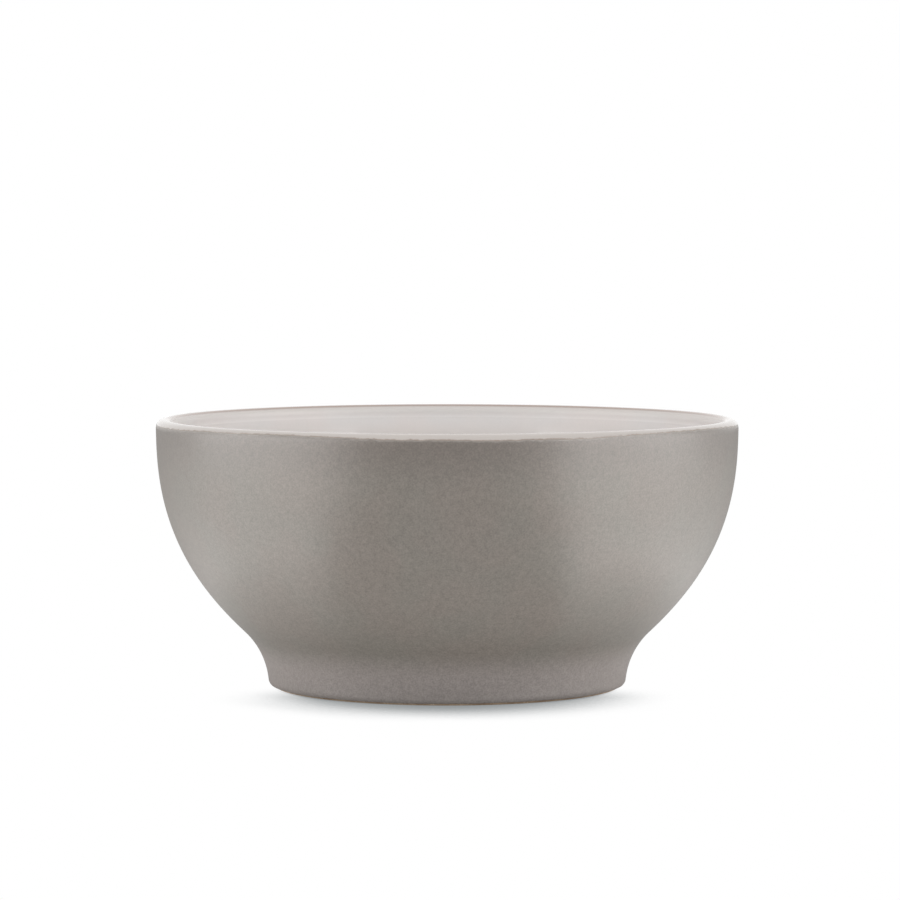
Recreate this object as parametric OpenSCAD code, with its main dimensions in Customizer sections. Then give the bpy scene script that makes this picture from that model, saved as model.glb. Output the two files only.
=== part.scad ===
// Stoneware latte bowl: a deep round bowl on a drawn-in foot, glazed in two colours.
// It is turned about Z and stands on Z = 0, with the origin in the middle of the foot.
// One outline, walked from the middle of the bowl's floor, up the inside, over the lip, down the
// outside and under the foot, bounds the clay and every coat of glaze. The clay lies to its right.

/* [Bowl] */
// Diameter at the rim, over the glaze
rim_d = 150; // [130:1:180]
// Height from the table to the top of the lip
bowl_h = 69.1; // [58:0.1:84]
// Thickness of the wall at the rim, glaze included; the lip is rounded over all of it
rim_wall = 4.7; // [3.8:0.1:5.8]
// Thickness of the wall where the inside leaves it for the floor, glaze included
low_wall = 5.8; // [4.9:0.1:6.9]
// Thickness of the floor at its middle, glaze included
floor_wall = 6; // [4.8:0.1:7.4]

/* [Belly] */
// Lean of the wall from upright where the belly ends and the waist begins, in degrees
belly_lean = 46.9; // [39:0.1:54]
// How far the belly's upper end reaches into the corner between its two end directions
upper_reach_share = 0.57; // [0.4:0.001:0.75]
// How far the belly's lower end reaches into that corner
lower_reach_share = 0.828; // [0.65:0.001:0.95]
// Share of the belly down to which the inside runs beside the outside
wall_share = 0.86; // [0.7:0.01:1]
// How far the inside floor reaches into the corner between level and the wall
floor_reach_share = 0.74; // [0.6:0.01:0.9]

/* [Foot] */
// Diameter of the foot at the top of its rounded edge, over the glaze
foot_d = 92.5; // [78:0.1:108]
// Radius of the hollow waist between belly and foot
waist_r = 20.4; // [16:0.1:24]
// Lean of the foot's side from upright, in degrees
foot_lean = 6; // [4:0.1:7]
// Radius that rounds the foot's outer edge
toe_r = 2; // [1.6:0.1:2.5]
// Width of the foot ring, from the foot's side to the recess
ring_w = 6; // [4.8:0.1:7.4]
// Radius that rounds the foot ring's inner edge
ring_edge_r = 1.2; // [0.9:0.1:1.5]

/* [Recess under the foot] */
// Depth of the recess
recess_h = 3.5; // [2.9:0.1:4.4]
// Lean of the recess's side from upright, in degrees
recess_lean = 15; // [10:0.5:20]
// Radius in the recess's corner
recess_fillet_r = 1.8; // [1.4:0.1:2.3]

/* [Glaze] */
// Thickness of each coat of glaze
glaze_t = 0.35; // [0.2:0.05:0.5]
// How far the inside glaze comes down the outside of the lip, from its top
lap_h = 1.4; // [1:0.1:1.8]
// Height of the bare clay at the foot's edge, on both sides of the foot ring
bare_h = 0.4; // [0.3:0.05:0.6]

/* [Hidden] */

$fn = 144;
// Steps along each stretch of the outline
floor_steps = 10;
belly_steps = 16;
waist_steps = 6;
lip_steps = 6;
toe_steps = 4;

rim_r = rim_d / 2;
foot_r = foot_d / 2;
lip_r = rim_wall / 2;
lip_centre = [rim_r - lip_r, bowl_h - lip_r];
toe_centre = [foot_r - toe_r, toe_r];
ring_edge_centre = [foot_r - ring_w + ring_edge_r, ring_edge_r];

// The waist's arc touches the toe's, so its centre lies on the line through both
waist_centre = toe_centre + (toe_r + waist_r) * polar(-foot_lean);
// Belly: from upright at the lip to belly_lean at the waist; its end directions meet in a corner
belly_top = [rim_r, bowl_h - lip_r];
belly_end = waist_centre - waist_r * polar(-belly_lean);
belly_corner = [rim_r, belly_end.y + (rim_r - belly_end.x) / tan(belly_lean)];
// Inside floor: level in the middle, meeting the wall in the wall's own direction
floor_middle = [0, recess_h + floor_wall];
floor_end = belly_point(wall_share, low_wall);
wall_way = belly_way(wall_share);
floor_corner = floor_end + wall_way * (floor_middle.y - floor_end.y) / wall_way.y;

// Angles, from +X, at which the coats end on the lip and on the two edges of the foot ring
lap_a = asin((lip_r - lap_h) / lip_r);
bare_a = -asin((toe_r - bare_h) / toe_r);
ring_bare_a = asin((ring_edge_r - bare_h) / ring_edge_r) - 180;
// The recess's side leaves the ring's edge at recess_lean and runs up to the fillet
side_foot = ring_edge_centre + ring_edge_r * polar(recess_lean - 180);
fillet_y = recess_h - recess_fillet_r;
side_h = fillet_y + recess_fillet_r * sin(recess_lean) - side_foot.y;
side_top = side_foot + side_h * [-tan(recess_lean), 1];
fillet_centre = side_top - recess_fillet_r * polar(recess_lean);

function polar(a) = [cos(a), sin(a)];
function reverse(list) = [for (i = [len(list) - 1 : -1 : 0]) list[i]];
// Quarter turn to the right, and the unit vector along v
function right_of(v) = [v.y, -v.x];
function unit(v) = v / norm(v);
// Rises from 0 to 1 with t, level at both ends
function ease(t) = t * t * (3 - 2 * t);

// Points of an arc about centre, from angle a0 to a1
function arc(centre, r, a0, a1, steps) =
    [for (i = [0 : steps]) centre + r * polar(a0 + (a1 - a0) * i / steps)];

// Curve from p0 to p3 whose end directions meet at corner: its point and its direction at t
function bend(p0, corner, p3, share0, share3, t) =
    let (p1 = p0 + (corner - p0) * share0, p2 = p3 + (corner - p3) * share3, u = 1 - t)
    u * u * u * p0 + 3 * u * u * t * p1 + 3 * u * t * t * p2 + t * t * t * p3;
function bend_way(p0, corner, p3, share0, share3, t) =
    let (p1 = p0 + (corner - p0) * share0, p2 = p3 + (corner - p3) * share3, u = 1 - t)
    unit(u * u * (p1 - p0) + 2 * u * t * (p2 - p1) + t * t * (p3 - p2));

// Direction of the belly at t, its point there moved into the clay by depth, and the wall there
function belly_way(t) =
    bend_way(belly_top, belly_corner, belly_end, upper_reach_share, lower_reach_share, t);
function belly_point(t, depth) =
    bend(belly_top, belly_corner, belly_end, upper_reach_share, lower_reach_share, t)
    + depth * right_of(belly_way(t));
function wall_at(t) = rim_wall + (low_wall - rim_wall) * ease(t / wall_share);

// Stretches of the outline in walking order, each one depth below the finished surface
function floor_line(depth) =
    [for (i = [0 : floor_steps])
        let (t = i / floor_steps)
        bend(floor_middle, floor_corner, floor_end, floor_reach_share, floor_reach_share, t)
        + depth * right_of(bend_way(floor_middle, floor_corner, floor_end,
                                    floor_reach_share, floor_reach_share, t))];
function inner_wall_line(depth) =
    [for (i = [belly_steps : -1 : 0])
        let (t = wall_share * i / belly_steps) belly_point(t, wall_at(t) - depth)];
function lip_line(depth, a0, a1) = arc(lip_centre, lip_r - depth, a0, a1, lip_steps);
function belly_line(depth) = [for (i = [0 : belly_steps]) belly_point(i / belly_steps, depth)];
function waist_line(depth) =
    arc(waist_centre, waist_r + depth, 180 - belly_lean, 180 - foot_lean, waist_steps);
function toe_line(depth, a0, a1) = arc(toe_centre, toe_r - depth, a0, a1, toe_steps);
function ring_edge_line(depth, a0, a1) =
    arc(ring_edge_centre, ring_edge_r - depth, a0, a1, toe_steps);
function recess_line(depth) =
    concat(arc(fillet_centre, recess_fillet_r + depth, recess_lean, 90, toe_steps),
           [[0, recess_h + depth]]);

// The three glazed stretches of the outline, and the bare one between the last two
function inside_line(depth) =
    concat(floor_line(depth), inner_wall_line(depth),
           lip_line(depth, 180, 90), lip_line(depth, 90, lap_a));
function outside_line(depth) =
    concat(lip_line(depth, lap_a, 0), belly_line(depth), waist_line(depth),
           toe_line(depth, -foot_lean, bare_a));
function bare_line() =
    concat(toe_line(0, bare_a, -90), ring_edge_line(0, -90, ring_bare_a));
function base_line(depth) =
    concat(ring_edge_line(depth, ring_bare_a, recess_lean - 180), recess_line(depth));

// Coat of glaze between a stretch of the finished surface and the same stretch in the clay
module coat(surface, underside) {
    rotate_extrude() polygon(concat(surface, reverse(underside)));
}

module stoneware_body() {
    color([0.62, 0.52, 0.44])
        rotate_extrude()
            polygon(concat(inside_line(glaze_t), outside_line(glaze_t), bare_line(),
                           base_line(glaze_t)));
}

module outside_glaze() {
    color([0.58, 0.55, 0.52]) coat(outside_line(0), outside_line(glaze_t));
}

module inside_glaze() {
    color([0.84, 0.82, 0.80]) coat(inside_line(0), inside_line(glaze_t));
}

module base_glaze() {
    color([0.56, 0.53, 0.50]) coat(base_line(0), base_line(glaze_t));
}

stoneware_body();
outside_glaze();
inside_glaze();
base_glaze();
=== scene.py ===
"""Stoneware latte bowl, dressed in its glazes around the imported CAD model.

The clay and its three coats of glaze are surfaces of revolution worked out with numpy from one
outline, the same one as the CAD model's, and stand for the CAD nodes. Lengths are in metres.
"""
import logging
import math
from dataclasses import dataclass
from enum import Enum
from functools import cache

import bpy
import numpy as np
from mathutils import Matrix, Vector


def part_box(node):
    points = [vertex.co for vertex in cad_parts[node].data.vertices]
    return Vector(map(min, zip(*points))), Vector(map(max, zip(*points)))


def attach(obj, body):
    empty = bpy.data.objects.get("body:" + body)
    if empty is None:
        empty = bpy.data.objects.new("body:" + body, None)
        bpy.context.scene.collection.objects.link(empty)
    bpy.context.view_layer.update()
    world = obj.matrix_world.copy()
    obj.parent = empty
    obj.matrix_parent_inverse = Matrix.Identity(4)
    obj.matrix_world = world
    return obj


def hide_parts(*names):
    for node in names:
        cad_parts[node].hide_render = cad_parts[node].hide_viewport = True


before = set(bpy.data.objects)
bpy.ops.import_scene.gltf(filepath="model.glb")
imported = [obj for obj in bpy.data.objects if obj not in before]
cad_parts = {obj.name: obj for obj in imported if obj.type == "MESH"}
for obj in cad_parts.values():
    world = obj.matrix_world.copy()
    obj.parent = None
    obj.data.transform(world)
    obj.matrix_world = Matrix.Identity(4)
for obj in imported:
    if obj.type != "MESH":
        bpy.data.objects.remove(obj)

LOG = logging.getLogger("latte_bowl")
MM = 0.001
TINY = 1e-9
TURN = 2.0 * math.pi
BODY = "root"
WHITE = (1.0, 1.0, 1.0, 1.0)
NOISE_SPREAD = (0.3, 0.7)
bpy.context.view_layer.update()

Socket = bpy.types.NodeSocket
Pair = tuple[float, float]
# A line's points and the directions that point away from the clay there
Curve = tuple[np.ndarray, np.ndarray]


class Lights(Enum):
    """What a lamp lights: the matt colour of a surface, or only its sheen."""

    MATT = "matt"
    SHEEN = "sheen"


class Ends(Enum):
    """How the rows of a turned surface close: on the axis at both ends, or round into a ring."""

    POLES = "poles"
    RING = "ring"


def polar(angle: np.ndarray | float) -> np.ndarray:
    """Unit vector at an angle from outward, in radians, in the plane of radius and height."""
    return np.stack([np.cos(angle), np.sin(angle)], axis=-1)


def ease(share: np.ndarray | float) -> np.ndarray:
    """Rises from 0 to 1 as share does, level at both ends: s * s * (3 - 2 s), held outside them."""
    held = np.clip(share, 0.0, 1.0)
    return held * held * (3.0 - 2.0 * held)


def arc(centre: np.ndarray, radius: float, start: float, end: float, steps: int,
        hollow: bool = False) -> Curve:
    """Points of an arc and the directions that point away from the clay there.

    Args:
        centre: Centre of the arc, as radius and height.
        radius: Radius of the arc.
        start: Angle at its start, in degrees from outward.
        end: Angle at its end, in degrees.
        steps: Number of steps.
        hollow: Whether the centre lies in the air, so that away from the clay is inward.

    Returns:
        Points and outward directions, one row a point.
    """
    ray = polar(np.radians(np.linspace(start, end, steps + 1)))
    return centre + radius * ray, -ray if hollow else ray


@dataclass(frozen=True)
class Bend:
    """Cubic curve between two points whose end directions meet in a corner."""

    start: np.ndarray
    corner: np.ndarray
    end: np.ndarray
    start_share: float
    end_share: float

    def at(self, share: np.ndarray) -> Curve:
        """Points and outward directions of the curve.

        The curve is u^3 p0 + 3 u^2 t p1 + 3 u t^2 p2 + t^3 p3 with u = 1 - t, where p1 and p2 lie
        their shares of the way from the ends to the corner. Outward is a quarter turn left of
        the direction of travel.

        Args:
            share: Places on the curve, from 0 to 1.

        Returns:
            Points and outward directions, one row a place.
        """
        t = np.asarray(share, float)[..., None]
        u = 1.0 - t
        p1 = self.start + (self.corner - self.start) * self.start_share
        p2 = self.end + (self.corner - self.end) * self.end_share
        point = u**3 * self.start + 3 * u * u * t * p1 + 3 * u * t * t * p2 + t**3 * self.end
        way = u * u * (p1 - self.start) + 2 * u * t * (p2 - p1) + t * t * (self.end - p2)
        way = way / np.linalg.norm(way, axis=-1, keepdims=True)
        return point, np.stack([-way[..., 1], way[..., 0]], axis=-1)


@dataclass(frozen=True)
class Walk:
    """The finished outline as a fine line, walked with the clay on its right.

    It runs from the middle of the floor up the inside, over the lip, down the outside and under
    the foot to the middle of the base.
    """

    points: np.ndarray
    outward: np.ndarray
    length: np.ndarray

    @classmethod
    def joined(cls, stretches: list[Curve]) -> "Walk":
        """Joins stretches of points and outward directions, leaving out points that repeat."""
        points = np.concatenate([points for points, _ in stretches])
        outward = np.concatenate([outward for _, outward in stretches])
        step = np.linalg.norm(np.diff(points, axis=0, prepend=points[:1] - 1.0), axis=1)
        kept = step > TINY
        points, outward = points[kept], outward[kept]
        step = np.linalg.norm(np.diff(points, axis=0), axis=1)
        return cls(points, outward, np.concatenate([[0.0], np.cumsum(step)]))

    def at(self, way: np.ndarray, lift: np.ndarray | float = 0.0) -> tuple[np.ndarray, np.ndarray]:
        """Radius and height of the places a length along the walk, lifted out of the surface."""
        both = []
        for axis in (0, 1):
            place = np.interp(way, self.length, self.points[:, axis])
            both.append(place + lift * np.interp(way, self.length, self.outward[:, axis]))
        return both[0], both[1]

    def rows(self, start: float, end: float, pace: float, turn: float,
             looks: int = 4000) -> np.ndarray:
        """Lengths of rows between two places, closer together where the outline turns.

        Args:
            start: Length along the walk at the first row.
            end: Length at the last row.
            pace: Longest step between rows.
            turn: Largest turn of the outline between rows, in degrees.
            looks: Number of places at which the turn is looked up.

        Returns:
            Lengths along the walk, from start to end.
        """
        way = np.linspace(start, end, looks)
        angle = np.unwrap(np.arctan2(np.interp(way, self.length, self.outward[:, 1]),
                                     np.interp(way, self.length, self.outward[:, 0])))
        turned = np.concatenate([[0.0], np.cumsum(np.abs(np.diff(angle)))])
        effort = (way - start) / pace + np.degrees(turned) / turn
        count = max(2, math.ceil(effort[-1]) + 1)
        return np.interp(np.linspace(0.0, effort[-1], count), effort, way)


@dataclass(frozen=True)
class Outline:
    """Sizes of the bowl's half section, the same as the CAD model's, in metres and degrees."""

    rim_r: float
    bowl_h: float
    bare_h: float
    rim_wall: float = 4.7 * MM
    low_wall: float = 5.8 * MM
    floor_wall: float = 6.0 * MM
    belly_lean: float = 46.9
    upper_reach_share: float = 0.57
    lower_reach_share: float = 0.828
    wall_share: float = 0.86
    floor_reach_share: float = 0.74
    foot_r: float = 46.25 * MM
    waist_r: float = 20.4 * MM
    foot_lean: float = 6.0
    toe_r: float = 2.0 * MM
    ring_w: float = 6.0 * MM
    ring_edge_r: float = 1.2 * MM
    recess_h: float = 3.5 * MM
    recess_lean: float = 15.0
    recess_fillet_r: float = 1.8 * MM
    glaze_t: float = 0.35 * MM
    lap_h: float = 1.4 * MM
    steps: int = 400

    @classmethod
    def from_frame(cls) -> "Outline":
        """Takes the rim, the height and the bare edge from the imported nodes."""
        low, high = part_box("outside_glaze")
        return cls(rim_r=high.x, bowl_h=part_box("inside_glaze")[1].z, bare_h=low.z)

    @property
    def lip_r(self) -> float:
        """Radius of the round lip, half the wall."""
        return self.rim_wall / 2

    @property
    def lip_centre(self) -> np.ndarray:
        """Centre of the lip's round, as radius and height."""
        return np.array([self.rim_r - self.lip_r, self.bowl_h - self.lip_r])

    @property
    def toe_centre(self) -> np.ndarray:
        """Centre of the round at the foot's outer edge."""
        return np.array([self.foot_r - self.toe_r, self.toe_r])

    @property
    def waist_centre(self) -> np.ndarray:
        """Centre of the hollow waist, on the line through the toe's centre where they touch."""
        return self.toe_centre + (self.toe_r + self.waist_r) * polar(math.radians(-self.foot_lean))

    def belly(self) -> Bend:
        """Outside of the belly, from upright below the lip to its lean at the waist."""
        top = np.array([self.rim_r, self.bowl_h - self.lip_r])
        end = self.waist_centre - self.waist_r * polar(math.radians(-self.belly_lean))
        rise = (self.rim_r - end[0]) / math.tan(math.radians(self.belly_lean))
        corner = np.array([self.rim_r, end[1] + rise])
        return Bend(top, corner, end, self.upper_reach_share, self.lower_reach_share)

    def inner_wall(self) -> Curve:
        """Inside of the wall, walked upwards: the belly's points moved in by a growing wall."""
        share = np.linspace(self.wall_share, 0.0, self.steps)
        point, outward = self.belly().at(share)
        growth = ease(share / self.wall_share)
        wall = self.rim_wall + (self.low_wall - self.rim_wall) * growth
        return point - wall[:, None] * outward, -outward

    def floor(self) -> Curve:
        """Inside floor, from level in the middle to the wall's own direction."""
        point, outward = self.belly().at(np.array([self.wall_share]))
        end = point[0] - self.low_wall * outward[0]
        way = np.array([outward[0][1], -outward[0][0]])
        middle = np.array([0.0, self.recess_h + self.floor_wall])
        corner = end + way * (middle[1] - end[1]) / way[1]
        share = self.floor_reach_share
        return Bend(middle, corner, end, share, share).at(np.linspace(0.0, 1.0, self.steps))

    def recess(self) -> list[Curve]:
        """Foot ring's inner edge, the recess's side, its fillet and the flat base."""
        lean = math.radians(self.recess_lean)
        centre = np.array([self.foot_r - self.ring_w + self.ring_edge_r, self.ring_edge_r])
        edge = arc(centre, self.ring_edge_r, -90.0, self.recess_lean - 180.0, self.steps)
        foot = edge[0][-1]
        fillet_z = self.recess_h - self.recess_fillet_r
        side_h = fillet_z + self.recess_fillet_r * math.sin(lean) - foot[1]
        top = foot + side_h * np.array([-math.tan(lean), 1.0])
        fillet = arc(top - self.recess_fillet_r * polar(lean), self.recess_fillet_r,
                     self.recess_lean, 90.0, self.steps, hollow=True)
        base = np.linspace(fillet[0][-1], [0.0, self.recess_h], self.steps)
        return [edge, fillet, (base, np.tile([0.0, -1.0], (self.steps, 1)))]

    def walk(self) -> Walk:
        """The whole finished outline."""
        lip = arc(self.lip_centre, self.lip_r, 180.0, 0.0, self.steps)
        waist = arc(self.waist_centre, self.waist_r, 180.0 - self.belly_lean,
                    180.0 - self.foot_lean, self.steps, hollow=True)
        toe = arc(self.toe_centre, self.toe_r, -self.foot_lean, -90.0, self.steps)
        belly = self.belly().at(np.linspace(0.0, 1.0, self.steps))
        return Walk.joined([self.floor(), self.inner_wall(), lip, belly, waist, toe,
                            *self.recess()])


@dataclass(frozen=True)
class Wobble:
    """A hand-made line's wander round the bowl: a few waves of seeded phase added together."""

    size: float
    fewest: int
    most: int
    seed: int
    least_weight: float = 0.4

    def at(self, angle: np.ndarray) -> np.ndarray:
        """Offset at each angle: a weighted sum of cos(k a + phase) / sqrt(k), of the given size."""
        rng = np.random.default_rng(self.seed)
        counts = np.arange(self.fewest, self.most + 1)
        phase = rng.uniform(0.0, TURN, counts.size)
        weight = rng.uniform(self.least_weight, 1.0, counts.size) / np.sqrt(counts)
        waves = np.cos(angle[:, None] * counts + phase) * weight
        return self.size * waves.sum(axis=1) / np.sqrt((weight**2).sum() / 2)


@dataclass(frozen=True)
class Sway:
    """A slow, even swing round the bowl about its own middle: cos(waves (a - peak))."""

    size: float
    middle: float
    waves: int
    peak: float

    def at(self, angle: np.ndarray) -> np.ndarray:
        """Offset at each angle; the peak's angle is in degrees from +X."""
        return self.middle + self.size * np.cos(self.waves * (angle - math.radians(self.peak)))


def in_order(*rows: np.ndarray | list[float]) -> np.ndarray:
    """Lengths of rows put in order, those closer than a millionth of a millimetre as one."""
    return np.unique(np.concatenate(rows).round(9))


def linked(name: str, data: bpy.types.ID) -> bpy.types.Object:
    """New object with the given data, linked to the scene."""
    new = bpy.data.objects.new(name, data)
    bpy.context.scene.collection.objects.link(new)
    return new


def turned_mesh(name: str, radius: np.ndarray, height: np.ndarray, ends: Ends,
                marks: dict[str, np.ndarray]) -> bpy.types.Object:
    """Mesh of a turned surface whose rows may wander round the axis.

    A point of row i and column j is (r cos a, r sin a, z), with r and z the row's radius and
    height there and a the column's angle. Faces run from row to row and column to column, so
    they point to the left of the walk along the rows.

    Args:
        name: Name of the object and its mesh.
        radius: Radius of each point, rows by columns.
        height: Height of each point, rows by columns.
        ends: How the rows close.
        marks: Values for each point, kept as attributes of the mesh.

    Returns:
        The object, linked to the scene.
    """
    rows, columns = radius.shape
    angle = np.linspace(0.0, TURN, columns, endpoint=False)
    grid = np.stack([radius * np.cos(angle), radius * np.sin(angle), height], axis=-1)
    index = np.arange(rows * columns).reshape(rows, columns)
    beside = np.roll(index, -1, axis=1)
    if ends is Ends.RING:
        below = np.roll(index, -1, axis=0)
        faces = np.stack([index, below, np.roll(below, -1, axis=1), beside], -1).reshape(-1, 4)
        points, fans = grid.reshape(-1, 3), np.empty((0, 3), int)
        values = {key: value.reshape(-1) for key, value in marks.items()}
    else:
        inner = index[1:-1] - columns + 1
        across = np.roll(inner, -1, axis=1)
        faces = np.stack([inner[:-1], inner[1:], across[1:], across[:-1]], -1).reshape(-1, 4)
        last = (rows - 2) * columns + 1
        first_fan = np.stack([np.zeros(columns, int), inner[0], across[0]], axis=-1)
        last_fan = np.stack([inner[-1], np.full(columns, last), across[-1]], axis=-1)
        fans = np.concatenate([first_fan, last_fan])
        points = np.concatenate([grid[:1, 0], grid[1:-1].reshape(-1, 3), grid[-1:, 0]])
        values = {key: np.concatenate([value[:1, 0], value[1:-1].reshape(-1), value[-1:, 0]])
                  for key, value in marks.items()}
    mesh = bpy.data.meshes.new(name)
    mesh.from_pydata(points, [], faces.tolist() + fans.tolist())
    for key, value in values.items():
        mesh.attributes.new(key, "FLOAT", "POINT").data.foreach_set("value", value)
    mesh.polygons.foreach_set("use_smooth", np.ones(len(mesh.polygons), bool))
    mesh.update()
    return linked(name, mesh)


@dataclass(frozen=True)
class Landmarks:
    """Lengths along the walk of the places where the coats meet, end or turn over the lip."""

    crest: float
    lap: float
    bare_outside: float
    contact: Pair
    bare_inside: float
    end: float

    @classmethod
    def on(cls, walk: Walk, outline: Outline) -> "Landmarks":
        """Finds the crest, the lap below it, and the contact face with the bare clay around it."""
        height, length = walk.points[:, 1], walk.length
        crest = int(np.argmax(height))
        resting = np.flatnonzero(height < TINY)
        falling, rising = slice(crest, resting[0] + 1), slice(resting[-1], None)
        lap, bare = (float(np.interp(-level, -height[falling], length[falling]))
                     for level in (outline.bowl_h - outline.lap_h, outline.bare_h))
        climb = float(np.interp(outline.bare_h, np.maximum.accumulate(height[rising]),
                                length[rising]))
        return cls(float(length[crest]), lap, bare, (length[resting[0]], length[resting[-1]]),
                   climb, float(length[-1]))

    def distances(self, way: np.ndarray) -> dict[str, np.ndarray]:
        """Distances along the walk that the finishes read, in millimetres."""
        return {"crest_mm": (way - self.crest) / MM,
                "lap_mm": (way - self.lap) / MM,
                "bare_mm": (way - self.bare_outside) / MM}


@dataclass(frozen=True)
class Ripple:
    """Faint unevenness of a turned surface, never above the finished outline."""

    depth: float
    pitch: float
    seed: int
    waves: int = 7
    pitch_shares: Pair = (0.7, 1.5)

    def at(self, way: np.ndarray, angle: np.ndarray) -> np.ndarray:
        """Lift of each row and column.

        It is the mean of cos(k a + p) cos(2 pi s / l + q) for k from 1 to the number of waves,
        with seeded p, q and l, brought to between minus the depth and 0.
        """
        rng = np.random.default_rng(self.seed)
        total = np.zeros((way.size, angle.size))
        for count in range(1, self.waves + 1):
            around = np.cos(count * angle + rng.uniform(0.0, TURN))
            pitch = self.pitch * rng.uniform(*self.pitch_shares)
            along = np.cos(TURN * way / pitch + rng.uniform(0.0, TURN))
            total += along[:, None] * around[None, :] / self.waves
        return -self.depth * (0.5 + 0.5 * total)


@dataclass(frozen=True)
class FreeEdge:
    """The edge of a coat: where it lies, how it wanders and how wide its rounded shoulder is."""

    place: float
    wander: tuple[Wobble | Sway, ...]
    shoulder: float
    reach: float = 5.0 * MM

    def shift(self, way: np.ndarray, angle: np.ndarray) -> np.ndarray:
        """How far each row and column moves along the walk with the wandering edge."""
        near = ease(1.0 - np.abs(way - self.place) / self.reach)
        return near[:, None] * sum(part.at(angle) for part in self.wander)[None, :]

    def round(self, way: np.ndarray) -> np.ndarray:
        """Rises from 0 at the edge to 1 past its shoulder, as a quarter of an ellipse does."""
        share = np.clip(1.0 - np.abs(way - self.place) / self.shoulder, 0.0, 1.0)
        return np.sqrt(1.0 - share**2)

    def rows(self, side: float, count: int = 8) -> np.ndarray:
        """Rows across the shoulder, closest together at the edge; side is 1 or -1."""
        return self.place + side * self.shoulder * np.linspace(0.0, 1.0, count) ** 2


@dataclass(frozen=True)
class Stretch:
    """Rows of a turned surface: their lengths, and each point's place on the walk and its lift."""

    way: np.ndarray
    place: np.ndarray
    lift: np.ndarray


@dataclass(frozen=True)
class TurnedPiece:
    """What the clay and its coats share: a closed surface round Z, made beside one outline."""

    walk: Walk
    marks: Landmarks
    glaze_t: float
    columns: int = 640

    @property
    def angle(self) -> np.ndarray:
        """Angles of the columns."""
        return np.linspace(0.0, TURN, self.columns, endpoint=False)

    @property
    def lap_edge(self) -> FreeEdge:
        """The uneven line where the pale coat ends over the outside coat."""
        wander = (Sway(0.35 * MM, -0.2 * MM, waves=4, peak=280.0),
                  Wobble(0.09 * MM, 3, 24, seed=5), Wobble(0.05 * MM, 60, 150, seed=8))
        return FreeEdge(self.marks.lap, wander, shoulder=0.25 * MM)

    def stretch(self, way: np.ndarray, lift: np.ndarray, *edges: FreeEdge) -> Stretch:
        """Rows at the given lengths and lifts, moved along the walk with wandering edges."""
        flat = np.zeros((way.size, self.columns))
        place = way[:, None] + sum((edge.shift(way, self.angle) for edge in edges), flat)
        return Stretch(way, place, flat + (lift if lift.ndim == 2 else lift[:, None]))

    def closed(self, name: str, ends: Ends, stretches: list[Stretch]) -> bpy.types.Object:
        """Joins stretches in their order into one closed surface.

        Args:
            name: Name of the piece.
            ends: How the surface closes.
            stretches: Rows in walking order, with the material on their right.

        Returns:
            The piece's object.
        """
        way, place, lift = (np.concatenate([getattr(part, field) for part in stretches])
                            for field in ("way", "place", "lift"))
        radius, height = self.walk.at(place, lift)
        wide = {key: np.repeat(value[:, None], self.columns, axis=1)
                for key, value in self.marks.distances(way).items()}
        return turned_mesh(name, radius, height, ends, wide)


@dataclass(frozen=True)
class ClayBody(TurnedPiece):
    """The stoneware itself: a glaze's depth below the finished outline, and bare at the foot."""

    columns: int = 360
    pace: float = 3.0 * MM
    turn: float = 9.0

    def build(self) -> bpy.types.Object:
        """Shapes and dresses the clay."""
        way = self.walk.rows(0.0, self.marks.end, self.pace, self.turn)
        outside, inside = self.marks.contact
        way = np.unique(np.concatenate([way, [self.marks.bare_outside, outside, inside,
                                              self.marks.bare_inside]]))
        rise = np.minimum((way - self.marks.bare_outside) / (outside - self.marks.bare_outside),
                          (self.marks.bare_inside - way) / (self.marks.bare_inside - inside))
        lift = -self.glaze_t * (1.0 - ease(rise))
        piece = self.closed("clay_body", Ends.POLES, [self.stretch(way, lift)])
        return dress(piece, "stoneware_body", FiredClay().material())


@dataclass(frozen=True)
class Coat(TurnedPiece):
    """What the coats share: the pace of their hidden faces' rows, their overlap and their edges."""

    under_pace: float = 8.0 * MM
    under_turn: float = 20.0
    overlap: float = 0.9 * MM

    def lapped(self, way: np.ndarray) -> np.ndarray:
        """Depth of the two coats' seam as a share of a coat: 0 at the lap, 1 above the overlap."""
        return np.clip((self.marks.lap - way) / self.overlap, 0.0, 1.0)

    def rolled(self, lift: np.ndarray, edge: FreeEdge, way: np.ndarray) -> np.ndarray:
        """Lift that runs down to the clay over an edge's rounded shoulder."""
        share = edge.round(way)[:, None]
        return lift * share - self.glaze_t * (1.0 - share)


@dataclass(frozen=True)
class InsideGlaze(Coat):
    """Pale coat inside the bowl, over the lip and a little way down the outside of it."""

    pace: float = 2.2 * MM
    turn: float = 6.0
    roll: float = 0.07 * MM
    roll_reach: float = 2.4 * MM
    ripple: Ripple = Ripple(depth=0.03 * MM, pitch=22.0 * MM, seed=11)

    def top(self) -> Stretch:
        """The finished surface, with a low roll of glaze along the lap."""
        edge = self.lap_edge
        way = self.walk.rows(0.0, self.marks.lap, self.pace, self.turn)
        way = in_order(way, edge.rows(-1.0))
        below = self.marks.lap - way
        roll = self.roll * (1.0 - ease(below / self.roll_reach))
        fade = ease((self.marks.crest - way) / self.roll_reach)
        lift = self.ripple.at(way, self.angle) * fade[:, None]
        return self.stretch(way, (lift + roll[:, None]) * edge.round(way)[:, None], edge)

    def underside(self) -> Stretch:
        """The face on the clay, which rises over the outside coat towards the lap."""
        way = self.walk.rows(0.0, self.marks.lap, self.under_pace, self.under_turn)[-2::-1]
        return self.stretch(way, -self.glaze_t * self.lapped(way), self.lap_edge)

    def build(self) -> bpy.types.Object:
        """Shapes and dresses the coat."""
        piece = self.closed("inside_coat", Ends.POLES, [self.top(), self.underside()])
        return dress(piece, "inside_glaze", GlossGlaze().material())


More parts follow.
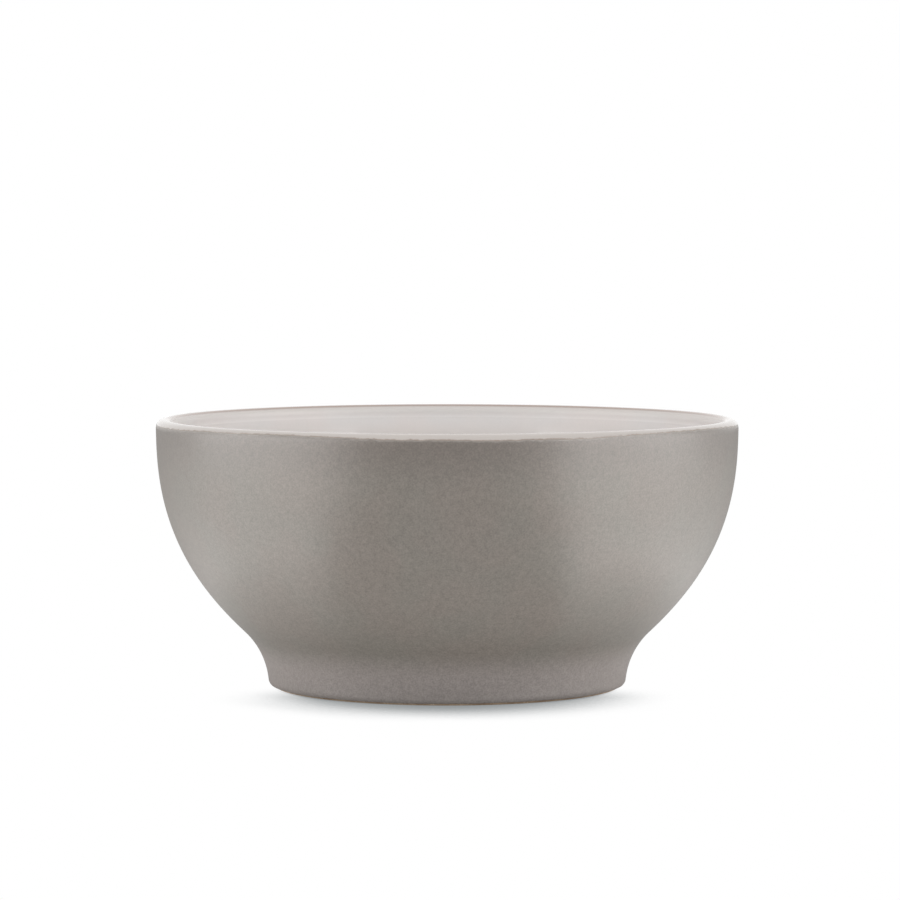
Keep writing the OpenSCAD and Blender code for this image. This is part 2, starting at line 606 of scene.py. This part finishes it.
@dataclass(frozen=True)
class OutsideGlaze(Coat):
    """Taupe coat outside, from below the pale lap to the bare clay at the foot's edge."""

    pace: float = 2.0 * MM
    turn: float = 6.0
    ripple: Ripple = Ripple(depth=0.05 * MM, pitch=26.0 * MM, seed=23)

    @property
    def edge(self) -> FreeEdge:
        """The rolled edge above the bare clay."""
        wander = (Wobble(0.06 * MM, 2, 30, seed=31),)
        return FreeEdge(self.marks.bare_outside, wander, shoulder=0.4 * MM)

    def top(self) -> Stretch:
        """The finished surface, sunk under the pale coat's lap at its upper end."""
        edge = self.edge
        start = self.marks.lap - self.overlap
        way = self.walk.rows(start, self.marks.bare_outside, self.pace, self.turn)
        way = in_order(way, [self.marks.lap], edge.rows(-1.0))
        sunk = self.glaze_t * self.lapped(way)
        fade = ease((way - self.marks.lap) / edge.reach)
        lift = self.ripple.at(way, self.angle) * fade[:, None] - sunk[:, None]
        return self.stretch(way, self.rolled(lift, edge, way), edge, self.lap_edge)

    def underside(self) -> Stretch:
        """The face on the clay, without the two ends that the top already has."""
        start = self.marks.lap - self.overlap
        way = self.walk.rows(start, self.marks.bare_outside, self.under_pace, self.under_turn)
        return self.stretch(way[-2:0:-1], np.full(way.size - 2, -self.glaze_t), self.edge,
                            self.lap_edge)

    def build(self) -> bpy.types.Object:
        """Shapes and dresses the coat."""
        piece = self.closed("outside_coat", Ends.RING, [self.top(), self.underside()])
        return dress(piece, "outside_glaze", SatinGlaze().material())


@dataclass(frozen=True)
class BaseGlaze(Coat):
    """Taupe coat under the foot, inside the bare ring that the bowl stands on."""

    columns: int = 360
    pace: float = 2.5 * MM
    turn: float = 8.0
    ripple: Ripple = Ripple(depth=0.08 * MM, pitch=18.0 * MM, seed=41)

    @property
    def edge(self) -> FreeEdge:
        """The rolled edge beside the bare ring."""
        return FreeEdge(self.marks.bare_inside, (Wobble(0.12 * MM, 2, 24, seed=47),),
                        shoulder=0.4 * MM)

    def top(self) -> Stretch:
        """The finished surface, from the bare ring to the middle."""
        edge = self.edge
        way = self.walk.rows(self.marks.bare_inside, self.marks.end, self.pace, self.turn)
        way = in_order(way, edge.rows(1.0))
        fade = ease((self.marks.end - way) / edge.reach)
        lift = self.ripple.at(way, self.angle) * fade[:, None]
        return self.stretch(way, self.rolled(lift, edge, way), edge)

    def underside(self) -> Stretch:
        """The face on the clay, from the middle out to the bare ring."""
        way = self.walk.rows(self.marks.bare_inside, self.marks.end, self.under_pace,
                             self.under_turn)[:0:-1]
        return self.stretch(way, np.full(way.size, -self.glaze_t), self.edge)

    def build(self) -> bpy.types.Object:
        """Shapes and dresses the coat."""
        piece = self.closed("base_coat", Ends.POLES, [self.underside(), self.top()])
        finish = SatinGlaze(name="satin_taupe_base", pale_lap=False)
        return dress(piece, "base_glaze", finish.material())


def dress(piece: bpy.types.Object, node: str,
          material: bpy.types.Material) -> bpy.types.Object:
    """Gives a piece its material and sets it in the place of its CAD node.

    Args:
        piece: The new piece.
        node: CAD node that it stands for.
        material: Its finish.

    Returns:
        The piece.
    """
    piece.data.materials.append(material)
    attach(piece, BODY)
    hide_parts(node)
    return piece


def shade(red: float, green: float, blue: float) -> tuple[float, float, float, float]:
    """Linear colour of an sRGB display colour given from 0 to 255."""
    value = np.array([red, green, blue]) / 255.0
    linear = np.where(value <= 0.04045, value / 12.92, ((value + 0.055) / 1.055) ** 2.4)
    return (*linear.tolist(), 1.0)


class Sketch:
    """Adds nodes to one node tree; an input may be given as a value or as another node's output."""

    def __init__(self, tree: bpy.types.NodeTree) -> None:
        """Starts on an empty tree."""
        self.tree = tree
        tree.nodes.clear()

    def node(self, kind: str, inputs: dict | None = None, **settings) -> bpy.types.Node:
        """Adds a node.

        Args:
            kind: Type name of the node.
            inputs: Value or output for each input, by name or number.
            settings: Properties of the node itself.

        Returns:
            The node.
        """
        node = self.tree.nodes.new(kind)
        for key, value in settings.items():
            setattr(node, key, value)
        for key, value in (inputs or {}).items():
            self.feed(node.inputs[key], value)
        return node

    def feed(self, socket: Socket, value: object) -> None:
        """Sets an input to a value, or links an output to it."""
        if isinstance(value, Socket):
            self.tree.links.new(value, socket)
        else:
            socket.default_value = value

    def sum(self, operation: str, *values: object, clamp: bool = False) -> Socket:
        """Result of a Math node."""
        return self.node("ShaderNodeMath", dict(enumerate(values)), operation=operation,
                         use_clamp=clamp).outputs[0]

    def ramp(self, value: object, low: object, high: object, start: object = 0.0,
             end: object = 1.0, smooth: bool = False) -> Socket:
        """Carries low..high over to start..end, held at both ends."""
        inputs = {"Value": value, "From Min": low, "From Max": high, "To Min": start,
                  "To Max": end}
        style = "SMOOTHSTEP" if smooth else "LINEAR"
        return self.node("ShaderNodeMapRange", inputs, interpolation_type=style).outputs[0]

    def fade(self, value: object, start: object, end: object) -> Socket:
        """Falls smoothly from 1 to 0 between two values."""
        return self.ramp(value, start, end, 1.0, 0.0, smooth=True)

    def mix(self, share: object, first: object, second: object, blend: str = "MIX") -> Socket:
        """Colour between two colours; 0, 6 and 7 are the share's and the colours' sockets."""
        return self.node("ShaderNodeMix", {0: share, 6: first, 7: second}, data_type="RGBA",
                         blend_type=blend).outputs[2]

    def place(self) -> Socket:
        """Object coordinates."""
        return self.node("ShaderNodeTexCoord").outputs["Object"]

    def noise(self, size: object, detail: float = 2.0) -> Socket:
        """Noise whose grains are a given size in millimetres."""
        scale = self.sum("DIVIDE", 1.0 / MM, size)
        inputs = {"Vector": self.place(), "Scale": scale, "Detail": detail}
        return self.node("ShaderNodeTexNoise", inputs).outputs[0]

    def swing(self, size: object, detail: float = 1.0) -> Socket:
        """Noise of a given size, brought from its usual spread to between -1 and 1."""
        return self.ramp(self.noise(size, detail), *NOISE_SPREAD, -1.0, 1.0)

    def mark(self, name: str) -> Socket:
        """One of the piece's own distances."""
        return self.node("ShaderNodeAttribute", attribute_name=name).outputs["Fac"]

    def effect(self, group: bpy.types.NodeTree, inputs: dict) -> Socket:
        """First output of a shared effect."""
        return self.node("ShaderNodeGroup", inputs, node_tree=group).outputs[0]


class Effects:
    """Effects that several finishes share, each a node group built once."""

    @staticmethod
    def _start(name: str, inputs: tuple[str, ...],
               output: str) -> tuple[Sketch, bpy.types.Node, bpy.types.Node]:
        """New group with float inputs, which every use sets, and one float output."""
        group = bpy.data.node_groups.new(name, "ShaderNodeTree")
        sketch = Sketch(group)
        kind = "NodeSocketFloat"
        for key in inputs:
            group.interface.new_socket(name=key, in_out="INPUT", socket_type=kind)
        group.interface.new_socket(name=output, in_out="OUTPUT", socket_type=kind)
        return sketch, sketch.node("NodeGroupInput"), sketch.node("NodeGroupOutput")

    @staticmethod
    @cache
    def grain() -> bpy.types.NodeTree:
        """Fine grain of a glaze or clay: a factor round 1 for the colour.

        It is 1 + contrast * (2 n - 1), where n joins a fine and a coarser noise, 2 to 1.
        """
        inputs = ("Size", "Coarse", "Contrast")
        sketch, given, out = Effects._start("fine_grain", inputs, "Factor")
        fine = sketch.swing(given.outputs["Size"])
        coarse = sketch.swing(given.outputs["Coarse"])
        joined = sketch.sum("ADD", sketch.sum("MULTIPLY", fine, 2.0 / 3.0),
                            sketch.sum("MULTIPLY", coarse, 1.0 / 3.0))
        scaled = sketch.sum("MULTIPLY", joined, given.outputs["Contrast"])
        sketch.feed(out.inputs["Factor"], sketch.sum("ADD", scaled, 1.0))
        return sketch.tree

    @staticmethod
    @cache
    def drift() -> bpy.types.NodeTree:
        """Slow drift over the surface, from 0 to 1, for clouds in a glaze's colour or gloss."""
        middle_spread = (0.35, 0.65)
        sketch, given, out = Effects._start("slow_drift", ("Size",), "Share")
        cloud = sketch.noise(given.outputs["Size"], 2.0)
        sketch.feed(out.inputs["Share"], sketch.ramp(cloud, *middle_spread, smooth=True))
        return sketch.tree

    @staticmethod
    @cache
    def border() -> bpy.types.NodeTree:
        """Ragged border beside an edge: 1 at a distance of 0, falling to 0 over the width.

        Noise moves the border in and out by as much as the raggedness, in millimetres.
        """
        inputs = ("Distance", "Width", "Ragged", "Size")
        sketch, given, out = Effects._start("ragged_border", inputs, "Share")
        noise = sketch.swing(given.outputs["Size"], 2.0)
        moved = sketch.sum("ADD", given.outputs["Distance"],
                           sketch.sum("MULTIPLY", noise, given.outputs["Ragged"]))
        sketch.feed(out.inputs["Share"], sketch.fade(moved, 0.0, given.outputs["Width"]))
        return sketch.tree

    @staticmethod
    @cache
    def skin() -> bpy.types.NodeTree:
        """Height of a fired surface: fine pitting and the soft unevenness of poured glaze."""
        inputs = ("Pit", "Pit share", "Swell")
        sketch, given, out = Effects._start("fired_skin", inputs, "Height")
        pits = sketch.noise(given.outputs["Pit"], 2.0)
        swell = sketch.noise(given.outputs["Swell"], 1.0)
        rest = sketch.sum("SUBTRACT", 1.0, given.outputs["Pit share"])
        height = sketch.sum("ADD", sketch.sum("MULTIPLY", pits, given.outputs["Pit share"]),
                            sketch.sum("MULTIPLY", swell, rest))
        sketch.feed(out.inputs["Height"], height)
        return sketch.tree


@dataclass(frozen=True)
class Finish:
    """What every finish has: its gloss, the relief of its surface, and its clouds and grain.

    The sizes of pits, swells, clouds and grains are in millimetres.
    """

    name: str
    roughness: float
    ior: float
    relief: float
    pit: float
    pit_share: float
    swell: float
    cloud: float
    grain: float
    coarse_grain: float
    contrast: float
    ragged: float = 0.2

    def clouds(self, sketch: Sketch, one: tuple, other: tuple) -> Socket:
        """Slow clouds of two colours."""
        return sketch.mix(sketch.effect(Effects.drift(), {"Size": self.cloud}), one, other)

    def grained(self, sketch: Sketch, colour: Socket) -> Socket:
        """The colour with the finish's grain."""
        grain = sketch.effect(Effects.grain(), {"Size": self.grain, "Coarse": self.coarse_grain,
                                                "Contrast": self.contrast})
        return sketch.mix(1.0, colour, grain, blend="MULTIPLY")

    def bordered(self, sketch: Sketch, distance: Socket, width: float, wave: float,
                 colour: Socket, edge: tuple) -> Socket:
        """The colour with a ragged border of another one beside an edge.

        Args:
            sketch: Tree to add the nodes to.
            distance: Distance from the edge, in millimetres.
            width: Width of the border.
            wave: Size of its raggedness along the edge.
            colour: Colour of the finish so far.
            edge: Colour of the border.

        Returns:
            The colour.
        """
        share = sketch.effect(Effects.border(), {"Distance": distance, "Width": width,
                                                 "Ragged": self.ragged, "Size": wave})
        return sketch.mix(share, colour, edge)

    def colour(self, sketch: Sketch) -> Socket:
        """Colour over the surface."""
        raise NotImplementedError

    def gloss(self, sketch: Sketch) -> Socket | float:
        """Roughness over the surface."""
        return self.roughness

    def material(self) -> bpy.types.Material:
        """Builds the material: colour and gloss of the finish over a finely uneven skin."""
        material = bpy.data.materials.new(self.name)
        material.use_nodes = True
        sketch = Sketch(material.node_tree)
        height = sketch.effect(Effects.skin(), {"Pit": self.pit, "Pit share": self.pit_share,
                                                "Swell": self.swell})
        bump = sketch.node("ShaderNodeBump", {"Strength": 1.0, "Distance": self.relief,
                                              "Height": height})
        shader = sketch.node("ShaderNodeBsdfPrincipled", {
            "Base Color": self.colour(sketch), "Roughness": self.gloss(sketch),
            "IOR": self.ior, "Normal": bump.outputs[0]})
        sketch.node("ShaderNodeOutputMaterial", {"Surface": shader.outputs[0]})
        return material


@dataclass(frozen=True)
class SatinGlaze(Finish):
    """Taupe satin glaze with fine grain and slow clouds from grey to rose.

    Painted shade darkens it a little on the wall just below the lap, and painted light makes the
    foot paler, standing in for light from the table there; the foot is also duller. Beside the pale
    lap it is pale, and brown where it runs thin at its lower edge. Distances are in millimetres.
    """

    name: str = "satin_taupe"
    roughness: float = 0.38
    ior: float = 1.79
    relief: float = 0.02 * MM
    pit: float = 0.35
    pit_share: float = 0.35
    swell: float = 3.0
    cloud: float = 14.0
    grain: float = 0.4
    coarse_grain: float = 1.2
    contrast: float = 0.2
    grey: tuple = shade(123, 117, 109)
    rose: tuple = shade(125, 117, 109)
    pale: tuple = shade(138, 131, 124)
    pale_width: float = 0.5
    pale_wave: float = 1.2
    # painted light: colour that the foot is lightened towards, standing in for light from the table
    foot: tuple = shade(144, 135, 130)
    foot_reach: Pair = (6.0, 15.0)
    foot_roughness: float = 0.46
    thin: tuple = shade(112, 98, 86)
    thin_width: float = 0.5
    thin_wave: float = 0.8
    # painted shade: colour that the wall just below the lap is darkened towards
    upper_shade: tuple = shade(114, 106, 99)
    upper_shade_reach: Pair = (0.5, 14.0)
    gloss_cloud: float = 23.8
    gloss_swing: float = 0.02
    pale_lap: bool = True

    def colour(self, sketch: Sketch) -> Socket:
        """Clouds, painted light on the foot, painted shade below the lap and grain, then the two
        borders; the base has no pale one.
        """
        colour = self.clouds(sketch, self.grey, self.rose)
        foot = sketch.sum("ABSOLUTE", sketch.mark("bare_mm"))
        # painted light: the glaze near the bare edge is made paler, as if lit from the table
        colour = sketch.mix(sketch.fade(foot, *self.foot_reach), colour, self.foot)
        # painted shade: darker near the lap, fading out further down the wall
        high = sketch.fade(sketch.mark("lap_mm"), *self.upper_shade_reach)
        colour = sketch.mix(high, colour, self.upper_shade)
        colour = self.bordered(sketch, foot, self.thin_width, self.thin_wave,
                               self.grained(sketch, colour), self.thin)
        if not self.pale_lap:
            return colour
        return self.bordered(sketch, sketch.mark("lap_mm"), self.pale_width, self.pale_wave,
                             colour, self.pale)

    def gloss(self, sketch: Sketch) -> Socket:
        """Roughness that drifts a little with the glaze's thickness; the foot is duller."""
        cloud = sketch.effect(Effects.drift(), {"Size": self.gloss_cloud})
        plain = sketch.ramp(cloud, 0.0, 1.0, self.roughness - self.gloss_swing,
                            self.roughness + self.gloss_swing)
        foot = sketch.sum("ABSOLUTE", sketch.mark("bare_mm"))
        return sketch.ramp(foot, *self.foot_reach, self.foot_roughness, plain)


@dataclass(frozen=True)
class GlossGlaze(Finish):
    """Pale gloss glaze, darker and warm where it breaks thin over the lip and at its lap.

    Deeper inside the bowl it is painted darker, as shade. Distances are in millimetres along the
    walk; those from the crest are negative on the inside.
    """

    name: str = "pale_gloss"
    roughness: float = 0.09
    ior: float = 1.48
    relief: float = 0.01 * MM
    pit: float = 0.5
    pit_share: float = 0.1
    swell: float = 6.0
    cloud: float = 20.0
    grain: float = 0.6
    coarse_grain: float = 2.5
    contrast: float = 0.015
    ragged: float = 0.15
    pale: tuple = shade(225, 223, 222)
    warm: tuple = shade(227, 222, 220)
    lip: tuple = shade(160, 144, 136)
    lip_reach: Pair = (0.3, 0.9)
    lip_place: float = -0.9
    roll: tuple = shade(184, 177, 172)
    warm_reach: Pair = (-4.5, -0.8)
    # painted shade: colour that the coat is darkened towards deeper inside the bowl
    deep_shade: tuple = shade(218, 213, 210)
    deep_shade_reach: Pair = (-10.0, -5.5)
    lap: tuple = shade(150, 138, 129)
    lap_width: float = 0.45
    lap_wave: float = 1.2
    dull: float = 0.45
    dull_reach: Pair = (1.2, 2.0)
    dull_place: float = -3.2

    def colour(self, sketch: Sketch) -> Socket:
        """Faint clouds and grain, painted shade deeper inside, the thin warm lip and the ragged
        lap.
        """
        colour = self.grained(sketch, self.clouds(sketch, self.pale, self.warm))
        crest = sketch.mark("crest_mm")
        # painted shade: darker deeper inside the bowl, below the lip
        colour = sketch.mix(sketch.ramp(crest, *self.deep_shade_reach, 1.0, 0.0), colour, self.deep_shade)
        colour = sketch.mix(sketch.ramp(crest, *self.warm_reach), colour, self.roll)
        beside = sketch.sum("ABSOLUTE", sketch.sum("SUBTRACT", crest, self.lip_place))
        colour = sketch.mix(sketch.fade(beside, *self.lip_reach), colour, self.lip)
        below = sketch.sum("MULTIPLY", sketch.mark("lap_mm"), -1.0)
        return self.bordered(sketch, below, self.lap_width, self.lap_wave, colour, self.lap)

    def gloss(self, sketch: Sketch) -> Socket:
        """Roughness, duller where the glaze runs thin off the inner half of the lip."""
        beside = sketch.sum("SUBTRACT", sketch.mark("crest_mm"), self.dull_place)
        return sketch.ramp(sketch.sum("ABSOLUTE", beside), *self.dull_reach, self.dull,
                           self.roughness)


@dataclass(frozen=True)
class FiredClay(Finish):
    """Bare fired clay at the foot: brown, dry and speckled with grog."""

    name: str = "bare_clay"
    roughness: float = 0.85
    ior: float = 1.45
    relief: float = 0.05 * MM
    pit: float = 0.3
    pit_share: float = 0.8
    swell: float = 1.5
    cloud: float = 5.0
    grain: float = 0.5
    coarse_grain: float = 2.0
    contrast: float = 0.15
    clay: tuple = shade(178, 152, 128)
    dark: tuple = shade(158, 130, 106)
    grog: tuple = shade(206, 186, 162)
    speck: float = 0.5
    speck_reach: Pair = (0.66, 0.74)

    def colour(self, sketch: Sketch) -> Socket:
        """Cloudy brown with pale specks of grog."""
        colour = self.grained(sketch, self.clouds(sketch, self.clay, self.dark))
        speck = sketch.ramp(sketch.noise(self.speck, 1.0), *self.speck_reach, smooth=True)
        return sketch.mix(speck, colour, self.grog)


@dataclass(frozen=True)
class Softbox:
    """Flat rectangular lamp, placed by its middle and turned to face a point."""

    name: str
    middle: tuple[float, float, float]
    width: float
    height: float
    radiance: float
    target: tuple[float, float, float] = (0.0, 0.0, 0.04)
    lights: Lights = Lights.MATT

    def hang(self) -> None:
        """Adds the lamp; its power is pi times its radiance times its area."""
        light = bpy.data.lights.new(self.name, "AREA")
        light.shape = "RECTANGLE"
        light.size, light.size_y = self.width, self.height
        light.energy = math.pi * self.radiance * self.width * self.height
        lamp = linked(self.name, light)
        lamp.location = self.middle
        aim = Vector(self.target) - Vector(self.middle)
        lamp.rotation_euler = aim.to_track_quat("-Z", "Y").to_euler()
        lamp.visible_camera = False
        lamp.visible_diffuse = self.lights is Lights.MATT
        lamp.visible_glossy = self.lights is Lights.SHEEN


@dataclass(frozen=True)
class Studio:
    """White table and surroundings, the softboxes and the camera.

    A level changes between two values of a direction's X or Y, a place's Y or the share of open
    air. Levels of the sides and the table are for the left and the right. The bowl darkens the
    table as far as the shadow's reach.
    """

    ambient: float = 1.0
    mirrored_front: float = 0.2
    mirrored_sides: Pair = (0.8, 0.8)
    mirrored_backdrop: float = 1.1
    mirrored_table: Pair = (1.8, 2.05)
    mirrored_far_table: float = 0.3
    front_reach: Pair = (-0.84, -0.74)
    side_reach: Pair = (-0.6, 0.6)
    backdrop_reach: Pair = (-0.1, 0.95)
    table_half: float = 3.0
    table_light: float = 1.2
    shadow: tuple = (0.305, 0.32, 0.325, 1.0)
    shadow_reach: float = 0.05
    shadow_open: Pair = (0.3, 0.65)
    shadow_front: Pair = (-0.03, -0.005)
    shadow_taper: float = 0.32
    camera_place: tuple = (0.0, -1.03783, 0.12424)
    camera_pitch: float = 3.496
    camera_yaw: float = -0.040
    lens: float = 161.11
    sensor: float = 36.0
    lamps: tuple[Softbox, ...] = (
        Softbox("overhead", (0.0, -0.2, 0.9), 0.6, 0.6, 1.2),
        Softbox("left_panel", (-0.7, -0.28, 0.35), 1.0, 0.7, 2.1, (0.0, -0.28, 0.35),
                Lights.SHEEN),
        Softbox("right_panel", (0.7, -0.28, 0.35), 1.0, 0.7, 2.25, (0.0, -0.28, 0.35),
                Lights.SHEEN),
    )

    def seen_level(self, sketch: Sketch, way: Socket, sides: tuple, back: float,
                   matt: float) -> Socket:
        """Brightness of the surroundings for each kind of ray.

        The camera sees them white. Reflections see them dim where the camera stands, as in a
        studio, and have their own levels to both sides and straight behind the bowl.

        Args:
            sketch: Tree to add the nodes to.
            way: Direction from the bowl, of length 1.
            sides: Brightness to its left and right in reflections, as values or outputs.
            back: Brightness behind it in reflections.
            matt: Brightness for diffuse rays.

        Returns:
            The brightness, 1 for white.
        """
        path = sketch.node("ShaderNodeLightPath").outputs
        parts = sketch.node("ShaderNodeSeparateXYZ", {0: way}).outputs
        side = sketch.ramp(parts["X"], *self.side_reach, *sides)
        side = sketch.ramp(parts["Y"], *self.backdrop_reach, side, back)
        mirrored = sketch.ramp(parts["Y"], *self.front_reach, self.mirrored_front, side,
                               smooth=True)
        seen = sketch.sum("ADD", path["Is Camera Ray"], path["Is Transmission Ray"], clamp=True)
        level = sketch.ramp(seen, 0.0, 1.0, matt, 1.0)
        return sketch.ramp(path["Is Glossy Ray"], 0.0, 1.0, level, mirrored)

    def surround(self) -> None:
        """White all round where it is seen, and a plain level where it only lights."""
        world = bpy.data.worlds.new("white_surround")
        world.use_nodes = True
        sketch = Sketch(world.node_tree)
        way = sketch.node("ShaderNodeTexCoord").outputs["Generated"]
        level = self.seen_level(sketch, way, self.mirrored_sides, self.mirrored_backdrop,
                                self.ambient)
        light = sketch.node("ShaderNodeBackground", {"Color": WHITE, "Strength": level})
        sketch.node("ShaderNodeOutputWorld", {"Surface": light.outputs[0]})
        bpy.context.scene.world = world

    def table(self) -> None:
        """Flat white table; it shows plain white but for the bowl's shadow, soft and in front.

        The shadow is the share of the air above the table that the bowl takes up. From below the
        table is clear, so that the underside can be looked at.
        """
        half = self.table_half
        corners = [(-half, -half, 0.0), (half, -half, 0.0), (half, half, 0.0), (-half, half, 0.0)]
        mesh = bpy.data.meshes.new("table")
        mesh.from_pydata(corners, [], [(0, 1, 2, 3)])
        material = bpy.data.materials.new("white_table")
        material.use_nodes = True
        sketch = Sketch(material.node_tree)
        place = sketch.place()
        depth = sketch.node("ShaderNodeSeparateXYZ", {0: place}).outputs["Y"]
        way = sketch.node("ShaderNodeVectorMath", {0: place}, operation="NORMALIZE").outputs[0]
        ahead = sketch.node("ShaderNodeSeparateXYZ", {0: way}).outputs["Y"]
        front = sketch.fade(depth, *self.shadow_front)
        open_share = sketch.node("ShaderNodeAmbientOcclusion",
                                 {"Distance": self.shadow_reach}).outputs["AO"]
        taper = sketch.sum("MULTIPLY", sketch.sum("ADD", ahead, 1.0), self.shadow_taper)
        dark = sketch.fade(sketch.sum("ADD", open_share, taper), *self.shadow_open)
        colour = sketch.mix(sketch.sum("MULTIPLY", front, dark), WHITE, self.shadow)
        near = sketch.sum("MULTIPLY", open_share, open_share)
        sides = tuple(sketch.sum("MULTIPLY", near, side) for side in self.mirrored_table)
        level = self.seen_level(sketch, way, sides, self.mirrored_far_table, self.table_light)
        shown = sketch.node("ShaderNodeEmission", {"Color": colour, "Strength": level})
        below = sketch.node("ShaderNodeNewGeometry").outputs["Backfacing"]
        clear = sketch.node("ShaderNodeBsdfTransparent")
        both = sketch.node("ShaderNodeMixShader", {0: below, 1: shown.outputs[0],
                                                   2: clear.outputs[0]})
        sketch.node("ShaderNodeOutputMaterial", {"Surface": both.outputs[0]})
        mesh.materials.append(material)
        table = linked("table", mesh)

    def camera(self) -> None:
        """Camera at the photograph's distance, height and angle."""
        data = bpy.data.cameras.new("camera")
        data.sensor_width, data.lens = self.sensor, self.lens
        camera = linked("camera", data)
        camera.location = self.camera_place
        camera.rotation_euler = (math.radians(90.0 - self.camera_pitch), 0.0,
                                 math.radians(self.camera_yaw))
        bpy.context.scene.camera = camera

    def build(self) -> None:
        """Sets up everything round the bowl."""
        self.camera()
        self.surround()
        self.table()
        for lamp in self.lamps:
            lamp.hang()
        bpy.context.scene.view_settings.view_transform = "Standard"


def main() -> None:
    """Builds the bowl's pieces in order, then the studio."""
    logging.basicConfig(level=logging.INFO, format="%(name)s: %(message)s")
    outline = Outline.from_frame()
    walk = outline.walk()
    marks = Landmarks.on(walk, outline)
    for part in (ClayBody, OutsideGlaze, InsideGlaze, BaseGlaze):
        piece = part(walk, marks, outline.glaze_t).build()
        LOG.info("%s: %d faces", piece.name, len(piece.data.polygons))
    Studio().build()


if __name__ == "__main__":
    main()
